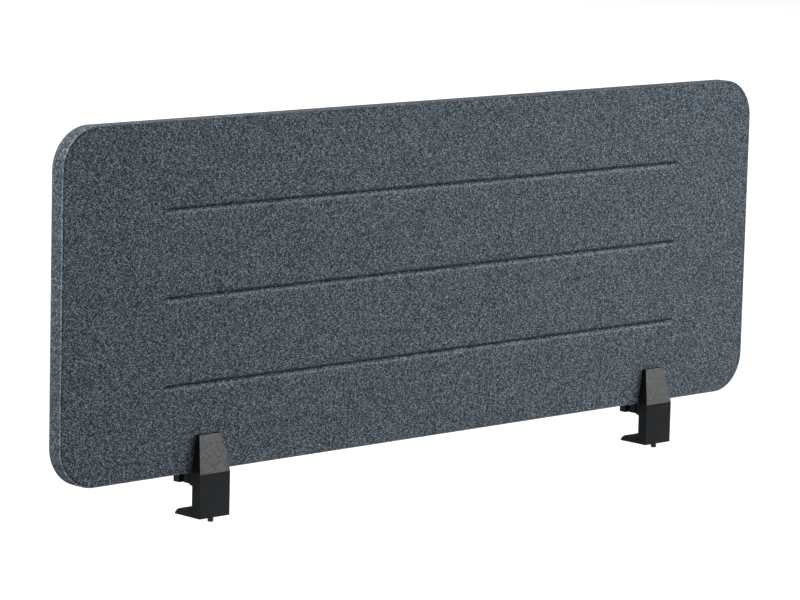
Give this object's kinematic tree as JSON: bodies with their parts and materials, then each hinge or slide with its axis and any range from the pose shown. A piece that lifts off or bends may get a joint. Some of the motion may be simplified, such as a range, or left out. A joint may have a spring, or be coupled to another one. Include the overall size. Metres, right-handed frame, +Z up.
{
  "type": "desk privacy panel",
  "caption": "Fabric-covered acoustic desk screen with rounded corners and pressed horizontal channels, held on the desk edge by screw clamps with sliding lower jaws.",
  "frame": {"origin": "on the desk's top surface, in the plane of the desk's edge, at the middle of the panel's length", "axes": "+X along the panel, +Y from the outside of the desk's edge in over the desk, +Z up; the face with the clamp housings looks along -Y"},
  "size_m": [1.4, 0.058, 0.5712],
  "materials": {
    "fabric": "melange weave",
    "felt": "dense felt",
    "wood": "planed",
    "infill": "polyester wadding",
    "black_plastic": "fine texture",
    "rubber": "matte",
    "zinc_steel": "zinc plated",
    "black_steel": "black oxide",
    "brass": "machined"
  },
  "bodies": {
    "panel": {"front_cover": "fabric", "back_cover": "fabric", "edge_band": "fabric", "front_felt": "felt", "back_felt": "felt", "left_stile": "wood", "right_stile": "wood", "bottom_rail": "wood", "top_rail": "wood", "infill_mat": "infill", "left_clamp_body": "black_plastic", "left_front_grip_pad": "rubber", "left_upper_desk_pad": "rubber", "left_clamp_insert": "brass", "left_cross_nut": "zinc_steel", "left_guide_pin_a": "zinc_steel", "left_guide_pin_b": "zinc_steel", "left_rear_cheek": "black_plastic", "left_rear_grip_pad": "rubber", "left_cross_screw": "black_steel", "right_clamp_body": "black_plastic", "right_front_grip_pad": "rubber", "right_upper_desk_pad": "rubber", "right_clamp_insert": "brass", "right_cross_nut": "zinc_steel", "right_guide_pin_a": "zinc_steel", "right_guide_pin_b": "zinc_steel", "right_rear_cheek": "black_plastic", "right_rear_grip_pad": "rubber", "right_cross_screw": "black_steel"},
    "left_jaw": {"left_lower_jaw": "black_plastic", "left_lower_desk_pad": "rubber"},
    "left_screw": {"left_clamp_screw": "black_steel"},
    "right_jaw": {"right_lower_jaw": "black_plastic", "right_lower_desk_pad": "rubber"},
    "right_screw": {"right_clamp_screw": "black_steel"}
  },
  "joints": [
    {"name": "left_jaw_slide", "type": "slide", "parent": "panel", "child": "left_jaw", "axis": [0, 0, 1], "range_m": [0, 0.02]},
    {"name": "left_screw_turn", "type": "hinge", "parent": "left_jaw", "child": "left_screw", "pos_m": [-0.436, -0.0085, -0.047], "axis": [0, 0, 1], "range_deg": [0, 9000]},
    {"name": "right_jaw_slide", "type": "slide", "parent": "panel", "child": "right_jaw", "axis": [0, 0, 1], "range_m": [0, 0.02]},
    {"name": "right_screw_turn", "type": "hinge", "parent": "right_jaw", "child": "right_screw", "pos_m": [0.486, -0.0085, -0.047], "axis": [0, 0, 1], "range_deg": [0, 9000]}
  ],
  "couplings": [
    {"joint": "left_screw_turn", "follows": "left_jaw_slide", "rad_per_m": 7854},
    {"joint": "right_screw_turn", "follows": "right_jaw_slide", "rad_per_m": 7854}
  ]
}
